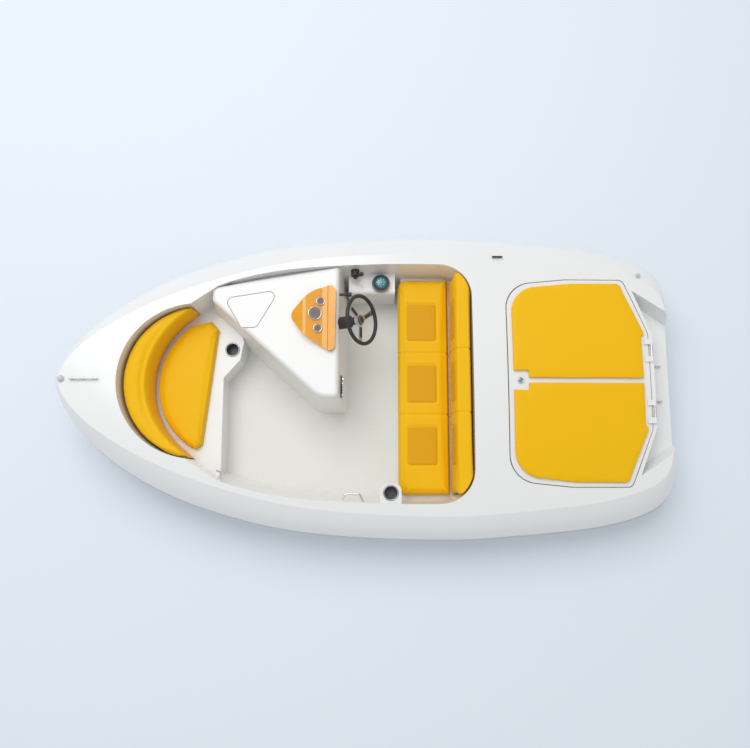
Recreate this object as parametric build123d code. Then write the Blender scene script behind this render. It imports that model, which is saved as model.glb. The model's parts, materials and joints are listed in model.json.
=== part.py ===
from build123d import *
import math
import os

# Open sport boat with a water-jet drive.
# X points to the bow, Y to port and Z up. The origin is on the centreline, amidships,
# at the waterline. All sizes are millimetres and all angles are degrees.

# ---------------------------------------------------------------- hull and deck
LENGTH = 4280.0  # over the rub rail
BEAM = 2160.0  # over the rub rail
RUB_PROUD = 13.0  # how far the rub rail stands out of the mouldings
RUB_HEIGHT = 42.0
RUB_GAP = 3.0  # between the rub rail and the mouldings
SHEER = 1.4  # the deck and the rub rail rise towards the bow
WIDEST_X = -496.0  # station of the greatest beam
STEM_FULLNESS = 2.4  # exponents of the bow's curve in plan
STEM_POWER = 0.6
STERN_FULLNESS = 1.45
STERN_POWER = 0.1
RAIL_Z = 320.0  # joint between hull and deck, amidships
EDGE_Z = 540.0  # deck edge
CROWN_Z = 596.0  # middle of the deck
CROWN_R = 6800.0  # the deck's camber
EDGE_INSET = 175.0  # deck edge inside the joint line, each side
FOOT_Z = -420.0  # construction level under the hull
FOOT_INSET = 235.0
STEM_RAKE = 611.0
TRANSOM_RAKE = 76.0

# ---------------------------------------------------------------- bottom
KEEL_Z = -280.0
KEEL_RISE_X = 250.0  # the keel starts to rise here
KEEL_RISE = 620.0
KEEL_POWER = 2.3
BOW_EYE_Z = 170.0
DEADRISE_AFT = 18.0
DEADRISE_BOW = 42.0
STRAKE_DROP = 16.0
STRAKE_WIDTH = 42.0
STRAKES_Y = (300.0, 560.0)
STRAKE_TOE_IN = 3.0

# ---------------------------------------------------------------- cockpit
FLOOR_Z = 80.0
SOLE = 15.0  # cockpit sole panel
LINER = 15.0  # liner wall
COCKPIT_AFT_X = -730.0
COCKPIT_HALF = 825.0  # opening, at the widest place
WALL_LEAN = 60.0  # how much narrower the cockpit is at the sole
COCKPIT_CORNER = 230.0
FOOTWELL_FRONT_X = 1020.0
BOW_SEAT_Z = 288.0
BOW_BAY_NOSE_X = 1672.0
BOW_BAY_SIDE_X = 1200.0
BOW_BAY_HALF = 525.0
SEAT_PANEL = 12.0

# ---------------------------------------------------------------- engine bay and hatch
BAY_FRONT_X = -850.0
BAY_AFT_X = -1870.0
BAY_HALF = 590.0
BAY_Z = 80.0
WELL_AFT_X = -1350.0
WELL_HALF = 235.0
WELL_Z = -150.0
ENGINE = (430.0, 400.0, 380.0)
HATCH_FRONT_X = -965.0
HATCH_AFT_X = -1930.0
HATCH_HALF = 712.0
HATCH_DEPTH = 62.0  # its ledge below the crown
HATCH_GAP = 6.0  # between the lid and the deck around it
HATCH_LEDGE = 36.0
SEAL_WIDTH = 12.0
SEAL_HEIGHT = 6.0
HINGE_Y = 210.0
HINGE_HALF = 40.0
HINGE_R = 8.0
HINGE_PIN_R = 4.0
HINGE_BEHIND = 18.0  # hinge line aft of the lid
HINGE_ABOVE = 10.0  # hinge line above the deck
HINGE_LEAF = 4.0
PAD_THICK = 26.0
PAD_MARGIN = 24.0
PAD_SPLIT = 20.0
LATCH_X = -1045.0
LATCH_BAY = 62.0

# ---------------------------------------------------------------- transom step
STEP_DROP = 115.0
STEP_RIM = ((-1955.0, 320.0), (-1824.0, 668.0), (-2300.0, 350.0))
STEP_FLOOR = ((-1985.0, 290.0), (-1880.0, 590.0), (-2300.0, 290.0))

# ---------------------------------------------------------------- console and helm
CONSOLE_AFT_X = 185.0
CONSOLE_TOP_Z = 650.0  # at its aft edge
CONSOLE_SLOPE = 5.0
CONSOLE_SPREAD = 75.0  # its foot is this much wider than its top
CONSOLE_WALL = 22.0
CONSOLE_ROUND = 26.0
CONSOLE_TOP_WALL = 34.0
LOCKER_LID = 12.0
LOCKER_REBATE = 18.0
LOCKER_GAP = 5.0
LOCKER_LEDGE = 20.0
POD_RISE = 66.0
POD_SEAT = 3.0
WHEEL_CENTRE = (28.0, -388.0, 704.0)
WHEEL_TILT = 35.0  # its axis above the level, towards the driver
WHEEL_R = 160.0
RIM_R = 13.0
COLUMN_R = 26.0
STEER_SHAFT_R = 10.0
SHAFT_FIT = 0.05
MAIN_GAUGE_R = 42.5
SMALL_GAUGE_R = 26.0

# ---------------------------------------------------------------- seats and fittings
BENCH_FRONT_X = -215.0
BENCH_HALF = 775.0
BENCH_BASE_Z = 290.0
BENCH_CUSHION = 80.0
BACK_TOP_Z = 575.0
BACK_THICK = 110.0
SEAT_CLEAR = 4.0  # between the bench's pads and the liner
SIDE_BOX_Z = 375.0
CUP_R = 46.0
CUP_DEPTH = 80.0
CUP_LIP = 6.0
CUP_WALL = 3.0

# ---------------------------------------------------------------- water jet
JET_Z = -120.0  # height of the drive line
NOTCH_X = -1745.0
NOTCH_HALF = 240.0
NOTCH_Z = 50.0
BORE_R = 80.0
PUMP_WALL = 20.0
PUMP_FRONT_X = -1600.0
BLADE_TIP_GAP = 6.0
IMPELLER_X = -1660.0
HUB_R = 30.0
SHAFT_R = 14.0
SHAFT_CLEAR = 6.0
NOZZLE_PIVOT_X = -1862.0
NOZZLE_EXIT_X = -1985.0
FIXED_NOZZLE_R = 45.0
THROAT = 56.0  # length of the fixed nozzle's narrow end
MOUTH_R = 76.0  # steering nozzle's front opening
MOUTH_LAP = 8.0  # how far it reaches ahead of its pivot
NOZZLE_WALL = 7.0
STEER_PIN_R = 7.0
BUCKET_X = -1915.0
BUCKET_R = 118.0
BUCKET_WALL = 8.0
BUCKET_HALF = 96.0
BUCKET_PIN_R = 8.0
INTAKE_FRONT_X = -1330.0
INTAKE_HALF = 78.0

HALF_LENGTH = LENGTH / 2 - RUB_PROUD
HALF_BEAM = BEAM / 2 - RUB_PROUD
FAR = 3000.0


def level(z):
    """A plane at height z amidships that rises to the bow with the sheer."""
    lean = math.radians(SHEER)
    return Plane(
        origin=(0, 0, z),
        x_dir=(math.cos(lean), 0, math.sin(lean)),
        z_dir=(-math.sin(lean), 0, math.cos(lean)),
    )


def deck_height(x, z):
    """Height at station x of the sheer-parallel level that is z amidships."""
    return z + x * math.tan(math.radians(SHEER))


def block(x, y, z):
    """A box from three (low, high) pairs."""
    size = [high - low for low, high in (x, y, z)]
    middle = [(high + low) / 2 for low, high in (x, y, z)]
    return Pos(*middle) * Box(*size)


def prism(points, low, high):
    """A straight prism over a plan polygon."""
    face = make_face(Polyline(*points, close=True))
    return Pos(0, 0, low) * extrude(face, high - low)


def rod(start, end, radius):
    """A round bar between two points."""
    a, b = Vector(*start), Vector(*end)
    return Plane(origin=a, z_dir=b - a) * extrude(Circle(radius), (b - a).length)


# ---------------------------------------------------------------- outlines in plan
def hull_outline(inset, bow_inset, stern_inset, plane, stern_power=STERN_POWER):
    """The boat's outline in plan, drawn in from the joint line, as a face."""
    half = HALF_BEAM - inset
    bow_run = HALF_LENGTH - bow_inset - WIDEST_X
    stern_run = HALF_LENGTH - stern_inset + WIDEST_X
    port = []
    for angle in (3, 7, 13, 22, 34, 48, 66):
        turn = math.radians(angle)
        x = WIDEST_X - stern_run * math.cos(turn) ** (2 / STERN_FULLNESS)
        port.append((x, half * math.sin(turn) ** (2 * stern_power)))
    for angle in (90, 76, 62, 50, 39, 29, 20, 12, 5):
        turn = math.radians(angle)
        x = WIDEST_X + bow_run * math.cos(turn) ** (2 / STEM_FULLNESS)
        port.append((x, half * math.sin(turn) ** (2 * STEM_POWER)))
    nose = (HALF_LENGTH - bow_inset, 0)
    points = [(x, -y) for x, y in port] + [nose] + port[::-1]
    side = Edge.make_spline(
        [Vector(*point) for point in points],
        parameters=[n / (len(points) - 1) for n in range(len(points))],
    )
    tail = Vector(-HALF_LENGTH + stern_inset, 0)
    transom = Edge.make_three_point_arc(side @ 1, tail, side @ 0)
    return plane.location * Face(Wire([side, transom]))


def cockpit_outline(narrower, grow=0.0):
    """Opening of the footwell, straight across at its front."""
    half = COCKPIT_HALF - narrower + grow
    front, aft = FOOTWELL_FRONT_X + grow, COCKPIT_AFT_X + narrower * 0.15 - grow
    turn = aft + COCKPIT_CORNER
    curve = Spline(
        (turn + 100, half),
        (150, half - 14),
        (600, half - 56),
        (front, half - 170),
        tangents=((1, 0.02), (1, -0.42)),
    )
    port = [
        Line((aft, 0), (aft, half - COCKPIT_CORNER)),
        RadiusArc((aft, half - COCKPIT_CORNER), (turn, half), COCKPIT_CORNER),
        Line((turn, half), (turn + 100, half)),
        curve,
        Line((front, half - 170), (front, 0)),
    ]
    side = Curve() + port
    return make_face(side + mirror(side, Plane.XZ))


def bow_bay_outline(grow=0.0):
    """Rounded bay for the bow seat, open at its aft end into the footwell."""
    half = BOW_BAY_HALF + grow
    flare = COCKPIT_HALF - 170 + grow
    nose = ThreePointArc(
        (BOW_BAY_SIDE_X, half), (BOW_BAY_NOSE_X + grow, 0), (BOW_BAY_SIDE_X, -half)
    )
    side = Line((FOOTWELL_FRONT_X - 1, flare), (BOW_BAY_SIDE_X, half))
    close = Line((FOOTWELL_FRONT_X - 1, -flare), (FOOTWELL_FRONT_X - 1, flare))
    return make_face(Curve() + [side, nose, mirror(side, Plane.XZ), close])


def hatch_outline(grow=0.0):
    """Outline of the engine hatch lid, with its aft corners cut back."""
    front, aft, half = HATCH_FRONT_X + grow, HATCH_AFT_X - grow, HATCH_HALF + grow
    port = [
        (front, half - 42),
        (front - 420, half),
        (aft + 150, half),
        (aft, 330),
    ]
    radii = [190, 300, 45, 90]
    starboard = [(x, -y) for x, y in reversed(port)]
    path = FilletPolyline(*port, *starboard, radius=radii + radii[::-1], close=True)
    return make_face(path)


# ---------------------------------------------------------------- hull and deck
def bottom_tool(drop=0.0):
    """Everything above the V bottom, from aft of the transom to ahead of the stem."""
    sections = []
    for x in range(-2400, 2401, 300):
        rise = max(0.0, (x - KEEL_RISE_X) / (HALF_LENGTH - KEEL_RISE_X))
        keel = KEEL_Z - drop + KEEL_RISE * rise**KEEL_POWER
        dead = DEADRISE_AFT + (DEADRISE_BOW - DEADRISE_AFT) * rise**1.5
        high = keel + BEAM * math.tan(math.radians(dead))
        outline = Polyline(
            (-BEAM, high), (0, keel), (BEAM, high), (BEAM, FAR), (-BEAM, FAR), close=True
        )
        plane = Plane(origin=(x, 0, 0), x_dir=(0, 1, 0), z_dir=(1, 0, 0))
        sections.append(plane * make_face(outline))
    return loft(sections)


def strake_strips():
    """Plan strips of the spray strakes, as tall prisms."""
    fore, drift = 1150.0, math.tan(math.radians(STRAKE_TOE_IN))
    for start in STRAKES_Y:
        end = start - (fore - NOTCH_X) * drift
        points = [
            (NOTCH_X, start),
            (NOTCH_X, start + STRAKE_WIDTH),
            (fore, end + STRAKE_WIDTH * 0.4),
            (fore, end),
        ]
        strip = prism(points, FOOT_Z, RAIL_Z)
        yield strip
        yield mirror(strip, Plane.XZ)


def hull_blank():
    foot = hull_outline(FOOT_INSET, STEM_RAKE, TRANSOM_RAKE, level(FOOT_Z))
    joint = hull_outline(0, 0, 0, level(RAIL_Z))
    sides = loft([foot, joint], ruled=True)
    body = sides & bottom_tool()
    proud = sides & bottom_tool(STRAKE_DROP)
    for strip in strake_strips():
        body += proud & strip
    return body


def camber(extra=0.0):
    """Everything under the deck's cambered surface, or that surface raised."""
    axis = level(CROWN_Z - CROWN_R) * Rot(0, 90, 0)
    return axis * Cylinder(CROWN_R + extra, 2 * LENGTH)


def deck_top(x, y):
    """Height of the cambered deck at a point."""
    return deck_height(x, CROWN_Z) - CROWN_R + math.sqrt(CROWN_R**2 - y**2)


def deck_blank():
    """The upper moulding before it is opened: shoulder, deck edge and camber."""
    outlines = [
        hull_outline(0, 0, 0, level(RAIL_Z)),
        hull_outline(EDGE_INSET * 0.4, 14, 14, level(RAIL_Z + 160)),
        hull_outline(EDGE_INSET, 34, 34, level(EDGE_Z + 5)),
        hull_outline(EDGE_INSET + 140, 80, 80, level(EDGE_Z + 70)),
    ]
    return loft(outlines) & camber()


def cockpit_space(grow=0.0):
    """What is cut for the footwell and the bow bay; grow adds the liner's wall."""
    foot = Pos(0, 0, FLOOR_Z - SOLE) * cockpit_outline(WALL_LEAN, grow)
    rim = Pos(0, 0, EDGE_Z) * cockpit_outline(0, grow)
    well = loft([foot, rim], ruled=True) + extrude(rim, 200, dir=(0, 0, 1))
    bay = Pos(0, 0, BOW_SEAT_Z) * extrude(bow_bay_outline(grow), 500, dir=(0, 0, 1))
    return well + bay


def step_height():
    return deck_height(HATCH_AFT_X, EDGE_Z) - STEP_DROP


def step_tool():
    """The lowered step behind the hatch, with sloping sides."""
    top = deck_height(HATCH_AFT_X, CROWN_Z) + 60
    low = step_height()

    def ring(port, z):
        points = list(port) + [(x, -y) for x, y in reversed(port)]
        return Plane.XY.offset(z) * make_face(Polyline(*points, close=True))

    return loft([ring(STEP_FLOOR, low), ring(STEP_RIM, top)], ruled=True)


def intake_duct():
    """Sloping water intake from the bottom up to the pump's bore."""
    profile = [
        (INTAKE_FRONT_X, FOOT_Z),
        (INTAKE_FRONT_X, KEEL_Z + 20),
        (PUMP_FRONT_X + 30, JET_Z + BORE_R),
        (PUMP_FRONT_X - 1, JET_Z + BORE_R),
        (PUMP_FRONT_X - 1, JET_Z - BORE_R),
        (PUMP_FRONT_X + 50, FOOT_Z),
    ]
    face = Plane.XZ * make_face(Polyline(*profile, close=True))
    return extrude(face, INTAKE_HALF, both=True)


def make_hull():
    body = hull_blank() - cockpit_space(LINER)
    body -= block((BAY_AFT_X, BAY_FRONT_X), (-BAY_HALF, BAY_HALF), (BAY_Z, FAR))
    body -= block((WELL_AFT_X, BAY_FRONT_X), (-WELL_HALF, WELL_HALF), (WELL_Z, BAY_Z + 1))
    notch = block((-FAR, NOTCH_X), (-NOTCH_HALF, NOTCH_HALF), (-FAR, NOTCH_Z))
    body -= fillet(notch.edges().filter_by(Axis.X).group_by(Axis.Z)[-1], 70)
    body -= intake_duct()
    body -= rod((NOTCH_X - 1, 0, JET_Z), (PUMP_FRONT_X, 0, JET_Z), BORE_R + PUMP_WALL)
    body -= rod((PUMP_FRONT_X, 0, JET_Z), (WELL_AFT_X + 1, 0, JET_Z), SHAFT_R + SHAFT_CLEAR)
    return body


def make_deck(blank):
    under = extrude(hull_outline(-200, -200, -200, level(RAIL_Z)), -FAR)
    body = blank + (cockpit_space(LINER) & under)
    body -= cockpit_space()
    body -= extrude(level(CROWN_Z - HATCH_DEPTH) * hatch_outline(HATCH_GAP), 200, dir=(0, 0, 1))
    bay = block((BAY_AFT_X, HATCH_FRONT_X), (-BAY_HALF, BAY_HALF), (-FAR, FAR))
    body -= extrude(hatch_outline(-HATCH_LEDGE), FAR, dir=(0, 0, 1)) & bay
    body -= step_tool()
    return body


def make_rub_rail():
    """A band round the joint between hull and deck, clear of the deck's bulge above it."""
    plane = level(RAIL_Z - RUB_HEIGHT / 2)
    outer = extrude(hull_outline(-RUB_PROUD, -RUB_PROUD, -RUB_PROUD, plane), RUB_HEIGHT)
    return outer - extrude(hull_outline(-RUB_GAP, -RUB_GAP, -RUB_GAP, plane), RUB_HEIGHT)


def make_sole():
    slab = block((-FAR, FAR), (-FAR, FAR), (FLOOR_Z - SOLE, FLOOR_Z))
    return cockpit_space() & slab


# ---------------------------------------------------------------- console and helm
def console_plane():
    """The console's sloping top, with its origin on the aft edge."""
    slope = math.radians(CONSOLE_SLOPE)
    return Plane(
        origin=(CONSOLE_AFT_X, 0, CONSOLE_TOP_Z),
        x_dir=(math.cos(slope), 0, -math.sin(slope)),
        z_dir=(math.sin(slope), 0, math.cos(slope)),
    )


def console_top(x):
    return CONSOLE_TOP_Z - (x - CONSOLE_AFT_X) * math.tan(math.radians(CONSOLE_SLOPE))


def console_outline(spread):
    """Plan of the console; spread moves its free sides outwards."""
    aft = CONSOLE_AFT_X - spread * 0.6
    outboard = 3 * abs(spread)
    points = [
        (aft, -760 - outboard),
        (aft, 125 + spread * 0.6),
        (320 + spread * 0.4, 118 + spread * 0.7),
        (1062 + spread * 0.7, -556 + spread * 0.6),
        (1062 + spread * 0.7, -640 - outboard),
    ]
    return make_face(FilletPolyline(*points, radius=(30, 35, 160, 40, 30), close=True))


def console_blank(spread, low, high):
    foot = Pos(0, 0, low) * console_outline(CONSOLE_SPREAD + spread)
    top = console_plane().offset(high) * Pos(-CONSOLE_AFT_X, 0) * console_outline(spread)
    return loft([foot, top], ruled=True)


def locker_lid_outline(grow=0.0):
    points = [(600, -616), (975, -566), (852, -362), (750, -362)]
    face = make_face(FilletPolyline(*points, radius=(35, 35, 28, 40), close=True))
    return offset(face, grow) if grow else face


def on_console(face, depth):
    """Place a plan face on the console's sloping top, sunk by depth."""
    return console_plane().offset(-depth) * Pos(-CONSOLE_AFT_X, 0) * face


def make_console():
    body = console_blank(0, FLOOR_Z, 0)
    body = fillet(body.faces().sort_by(Axis.Z)[-1].edges(), CONSOLE_ROUND)
    body &= cockpit_space()
    cavity = console_blank(-CONSOLE_WALL, FLOOR_Z - 1, -CONSOLE_TOP_WALL)
    body -= cavity & block((-FAR, FAR), (-680, FAR), (0, FAR))
    body -= extrude(on_console(locker_lid_outline(LOCKER_GAP), LOCKER_REBATE), 100)
    body -= extrude(on_console(locker_lid_outline(-LOCKER_LEDGE), 60), 100)
    return body
def make_locker_lid():
    """Lid in the console's top, with its hinge rod along the outboard edge."""
    lid = extrude(on_console(locker_lid_outline(), LOCKER_LID), LOCKER_LID)
    return lid


def make_locker_latch():
    seat = on_console(Pos(835, -385) * Circle(11), 0)
    return extrude(seat, 5)


def make_pod():
    """Instrument pod on the console: a rounded triangle with a raised, angled face."""
    plan = [(200, -648), (360, -596), (522, -437), (420, -296), (208, -158)]
    outline = make_face(FilletPolyline(*plan, radius=(42, 260, 52, 300, 36), close=True))
    body = extrude(on_console(outline, POD_SEAT), POD_RISE + POD_SEAT)
    side = Polyline(
        (180, -10),
        (180, POD_RISE * 0.45),
        (250, POD_RISE * 0.62),
        (258, POD_RISE * 0.5),
        (292, POD_RISE * 0.56),
        (400, POD_RISE),
        (420, POD_RISE * 0.97),
        (540, POD_RISE * 0.1),
        (540, -10),
        close=True,
    )
    frame = console_plane()
    upright = Plane(origin=frame.origin, x_dir=frame.x_dir, z_dir=(0, -1, 0))
    shape = Pos(-CONSOLE_AFT_X, 0) * make_face(side)
    return body & extrude(upright * shape, 800, both=True)


def gauge_place(x, y):
    """Place on the pod's angled face, at a point of the plan."""
    frame = console_plane()
    tilt = math.atan2(POD_RISE * 0.44, 400 - 292)
    rise = POD_RISE * 0.56 + (x - 292) * math.tan(tilt)
    return frame * Pos(x - CONSOLE_AFT_X, y, rise) * Rot(0, -math.degrees(tilt), 0)


def make_gauges(pod):
    spots = (
        (340, -437, MAIN_GAUGE_R),
        (305, -520, SMALL_GAUGE_R),
        (322, -335, SMALL_GAUGE_R),
    )
    dials = [
        gauge_place(x, y) * Pos(0, 0, 4) * Cylinder(radius, 8) - pod for x, y, radius in spots
    ]
    return Compound(children=dials)


def wheel_place():
    """Frame of the steering wheel: Z along its axis, towards the driver."""
    tilt = math.radians(WHEEL_TILT)
    axis = (-math.cos(tilt), 0, math.sin(tilt))
    return Plane(origin=WHEEL_CENTRE, x_dir=(math.sin(tilt), 0, math.cos(tilt)), z_dir=axis)


def make_wheel_rim():
    return wheel_place() * Torus(WHEEL_R, RIM_R)


def make_wheel_spokes(rim):
    """Three flat spokes, dished hub and the steering shaft behind it."""
    hub = Pos(0, 0, -22) * Cylinder(36, 28)
    for turn in (90, 210, 330):
        arm = Pos(WHEEL_R / 2, 0, -12) * Box(WHEEL_R, 34, 7)
        hub += Rot(0, 0, turn) * arm
    hub += Pos(0, 0, -86) * Cylinder(STEER_SHAFT_R, 100)
    return wheel_place() * hub - rim


def make_column(console, pod):
    """Bezel on the console's aft face that carries the steering shaft."""
    bore = STEER_SHAFT_R + SHAFT_FIT
    profile = Polyline(
        (bore, -46), (COLUMN_R, -46), (COLUMN_R, -84), (42, -96), (42, -260), (bore, -260), close=True
    )
    post = wheel_place() * revolve(Plane.XZ * make_face(profile), Axis.Z)
    return post - console - pod


def make_audio_panel(console):
    back = block((100, CONSOLE_AFT_X + 40), (-40, 110), (470, 540))
    front = Pos(-6, 0, 0) * console_blank(0, FLOOR_Z, 0)
    return (back & front) - console


def make_kill_switch():
    """Stop switch: a mushroom button on the console's aft face."""
    y, z = -584, 618
    stem = rod((CONSOLE_AFT_X - 3.5, y, z), (CONSOLE_AFT_X - 60, y, z), 9)
    return stem + rod((CONSOLE_AFT_X - 60, y, z), (CONSOLE_AFT_X - 86, y, z), 15)


# ---------------------------------------------------------------- side fittings
def make_side_box(space):
    box = block((BENCH_FRONT_X + 12, 128), (-FAR, -655), (FLOOR_Z, SIDE_BOX_Z))
    box = fillet(box.edges().filter_by(Axis.X).sort_by(Axis.Z)[-1:], 20)
    return box & space


def make_throttle(space):
    base = Pos(80, -790, 455) * Rot(90, 0, 0) * Cylinder(30, 60)
    lever = rod((80, -750, 455), (36, -750, 540), 7) + Pos(34, -750, 546) * Sphere(16)
    pin = rod((80, -770, 455), (80, -743, 455), 12)
    return (base + lever + pin) & space


def make_compass():
    dial = Pos(-102, -725, SIDE_BOX_Z + 22) * Cylinder(64, 44)
    return fillet(dial.edges().sort_by(Axis.Z)[-1:], 12)


def make_grab_handle(space):
    wall = 812
    path = FilletPolyline(
        (20, wall, 480), (44, wall - 52, 480), (143, wall - 52, 480), (167, wall, 480), radius=20
    )
    bar = sweep(Plane(origin=path @ 0, z_dir=path % 0) * Circle(7), path=path)
    return bar & space


def make_rope_hook(deck):
    """Hook for a line on the port wall, abreast of the bow seat."""
    stem = rod((985, 612, 480), (985, 700, 480), 6)
    prong = rod((980, 612, 480), (1002, 606, 520), 6)
    return (stem + prong) - deck


def make_bow_cleat(deck):
    """Long low bar on three feet, along the foredeck's middle."""
    z = deck_top(1880, 0) + 24
    bar = rod((1975, 0, z + 2), (1785, 0, z - 2), 7)
    for x in (1955, 1880, 1805):
        bar += rod((x, 0, deck_top(x, 0) - 8), (x, 0, z), 6)
        bar += Pos(x, 0, deck_top(x, 0)) * Cylinder(13, 8)
    return bar - deck


def make_bow_light(deck):
    x = 2034
    base = Pos(x, 0, deck_top(x, 0) + 3) * Cylinder(24, 10)
    dome = Pos(x, 0, deck_top(x, 0) + 8) * Sphere(19)
    return base + dome - deck


def make_bow_eye(hull):
    """Towing eye on the stem."""
    z = BOW_EYE_Z
    rise = ((z - KEEL_Z) / KEEL_RISE) ** (1 / KEEL_POWER)
    x = KEEL_RISE_X + rise * (HALF_LENGTH - KEEL_RISE_X) + 30
    ring = Pos(x, 0, z) * Rot(90, 0, 0) * (Cylinder(27, 12) - Cylinder(12, 12))
    root = block((x - 60, x - 14), (-6, 6), (z - 27, z + 27))
    root -= Pos(x, 0, z) * Rot(90, 0, 0) * Cylinder(12, 20)
    return ring + root - hull


def make_side_cleat(deck):
    x, y = -915, -880
    z = deck_top(x, y)
    bar = rod((x - 36, y, z + 16), (x + 36, y, z + 17), 6)
    for step in (-16, 16):
        bar += rod((x + step, y, z - 10), (x + step, y, z + 16), 6)
    return bar - deck


def make_stern_light(deck):
    x, y = -1900, -752
    z = deck_top(x, y)
    return Pos(x, y, z + 4) * (Cylinder(15, 14) + Pos(0, 0, 7) * Sphere(11)) - deck


def make_transom_eyes(deck):
    """Two small tie-down eyes on the step."""
    z = step_height()
    eyes = []
    for side in (-1, 1):
        loop = Pos(-2040, 124 * side, z + 10) * (Box(40, 8, 28) - Pos(0, 0, 1) * Box(24, 9, 14))
        eyes.append(loop - deck)
    return Compound(children=eyes)


# ---------------------------------------------------------------- seats
def make_bow_seat_panel(space, console):
    """Seat panel of the bow bay and the corner shelf beside the console."""
    reach = block((FOOTWELL_FRONT_X, FAR), (-FAR, FAR), (BOW_SEAT_Z, BOW_SEAT_Z + SEAT_PANEL))
    plan = [
        (FOOTWELL_FRONT_X, -60),
        (905, -190),
        (880, -330),
        (FOOTWELL_FRONT_X, -560),
    ]
    shelf = prism(plan, FLOOR_Z, BOW_SEAT_Z + SEAT_PANEL)
    shelf -= Pos(962, -262, BOW_SEAT_Z + SEAT_PANEL) * Cylinder(CUP_R, 2 * CUP_DEPTH)
    return ((reach & space) + (shelf & space)) - console


def make_bow_cushion():
    z = BOW_SEAT_Z + SEAT_PANEL
    path = [
        ThreePointArc((1240, 440), (1478, 0), (1240, -440)),
        Line((1240, -440), (1110, -470)),
        Line((1110, -470), (1050, -400)),
        Line((1050, -400), (1142, 420)),
        Line((1142, 420), (1190, 462)),
        Line((1190, 462), (1240, 440)),
    ]
    pad = Pos(0, 0, z) * extrude(make_face(Curve() + path), 66)
    return fillet(pad.faces().sort_by(Axis.Z)[-1].edges(), 14)


def make_bow_backrest():
    z = BOW_SEAT_Z + SEAT_PANEL
    gap = 8.0
    outer = ThreePointArc(
        (BOW_BAY_SIDE_X, BOW_BAY_HALF - gap),
        (BOW_BAY_NOSE_X - gap, 0),
        (BOW_BAY_SIDE_X, gap - BOW_BAY_HALF),
    )
    inner = ThreePointArc((1262, -462), (1494, 0), (1262, 462))
    ends = [
        Line((BOW_BAY_SIDE_X, gap - BOW_BAY_HALF), (1262, -462)),
        Line((1262, 462), (BOW_BAY_SIDE_X, BOW_BAY_HALF - gap)),
    ]
    pad = Pos(0, 0, z) * extrude(make_face(Curve() + [outer, inner] + ends), 270)
    return fillet(pad.faces().sort_by(Axis.Z)[-1].edges(), 20)


def make_bench_base(space):
    return block((-FAR, BENCH_FRONT_X - 30), (-FAR, FAR), (FLOOR_Z, BENCH_BASE_Z)) & space


def make_bench_cushion():
    pad = block(
        (-590, BENCH_FRONT_X),
        (-BENCH_HALF, BENCH_HALF),
        (BENCH_BASE_Z, BENCH_BASE_Z + BENCH_CUSHION),
    )
    pad = fillet(pad.edges().filter_by(Axis.Z).group_by(Axis.X)[-1], 70)
    pad = fillet(pad.faces().sort_by(Axis.Z)[-1].edges(), 22)
    return pad & cockpit_space(-SEAT_CLEAR)


def make_bench_back():
    low = BENCH_BASE_Z + 4
    profile = Polyline(
        (-594, low),
        (-594, low + 60),
        (BACK_THICK - 722, BACK_TOP_Z),
        (-718, BACK_TOP_Z),
        (-706, low),
        close=True,
    )
    face = Plane.XZ * make_face(profile)
    pad = extrude(face, BENCH_HALF - 5, both=True)
    pad = fillet(pad.faces().sort_by(Axis.Z)[-1].edges(), 18)
    return pad & cockpit_space(-SEAT_CLEAR)


def cup(x, y, z):
    """Cup holder with a lip, its rim at height z."""
    body = Pos(x, y, z - CUP_DEPTH / 2) * Cylinder(CUP_R - 0.4, CUP_DEPTH)
    body += Pos(x, y, z + 2) * Cylinder(CUP_R + CUP_LIP, 4)
    bowl = Pos(x, y, z + CUP_WALL) * Cylinder(CUP_R - CUP_WALL, 2 * CUP_DEPTH)
    return body - (bowl & block((-FAR, FAR), (-FAR, FAR), (z - CUP_DEPTH + CUP_WALL, FAR)))


def make_cup_holders():
    return Compound(children=[cup(962, -262, BOW_SEAT_Z + SEAT_PANEL), cup(-166, 752, 505)])


def make_cup_shelf(space):
    """Bracket on the port side that carries the driver's side cup holder."""
    shelf = block((-238, -94), (690, FAR), (478, 505))
    shelf = fillet(shelf.edges().filter_by(Axis.Z).group_by(Axis.Y)[0], 50)
    return (shelf & space) - Pos(-166, 752, 500) * Cylinder(CUP_R, 200)


# ---------------------------------------------------------------- engine hatch
def make_hatch():
    blank = extrude(level(CROWN_Z - HATCH_DEPTH + SEAL_HEIGHT) * hatch_outline(), 200)
    lid = blank & camber()
    return lid + hinge_half(lid, -1)


def hinge_line():
    x = HATCH_AFT_X - HINGE_BEHIND
    return x, deck_top(x, 0) + HINGE_ABOVE


def hinge_half(seat, way):
    """Knuckles and leaves of one side of the hatch hinges; way is 1 for the deck's."""
    x, z = hinge_line()
    parts = None
    for middle in (-HINGE_Y, HINGE_Y):
        if way > 0:
            spans = [(middle - HINGE_HALF, middle + HINGE_HALF)]
        else:
            spans = [
                (middle - 2 * HINGE_HALF, middle - HINGE_HALF - 0.5),
                (middle + HINGE_HALF + 0.5, middle + 2 * HINGE_HALF),
            ]
        for low, high in spans:
            knuckle = rod((x, low, z), (x, high, z), HINGE_R)
            if way > 0:
                foot = block((x - 4, x + 4), (low, high), (z - HINGE_ABOVE - 6, z))
                piece = knuckle + foot - rod((x, low - 1, z), (x, high + 1, z), HINGE_PIN_R + 0.05)
            else:
                leaf = block((x, HATCH_AFT_X + 30), (low, high), (z - 2, z - 2 + HINGE_LEAF))
                drop = block((HATCH_AFT_X + 14, HATCH_AFT_X + 30), (low, high), (z - 30, z))
                piece = knuckle + leaf + drop
            parts = piece if parts is None else parts + piece
        if way < 0:
            pin = rod(
                (x, middle - HINGE_HALF - 2, z), (x, middle + HINGE_HALF + 2, z), HINGE_PIN_R
            )
            parts += pin
    return parts


def make_hinges(deck):
    pieces = hinge_half(None, 1) - deck
    return Compound(children=list(pieces.solids()))


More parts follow.
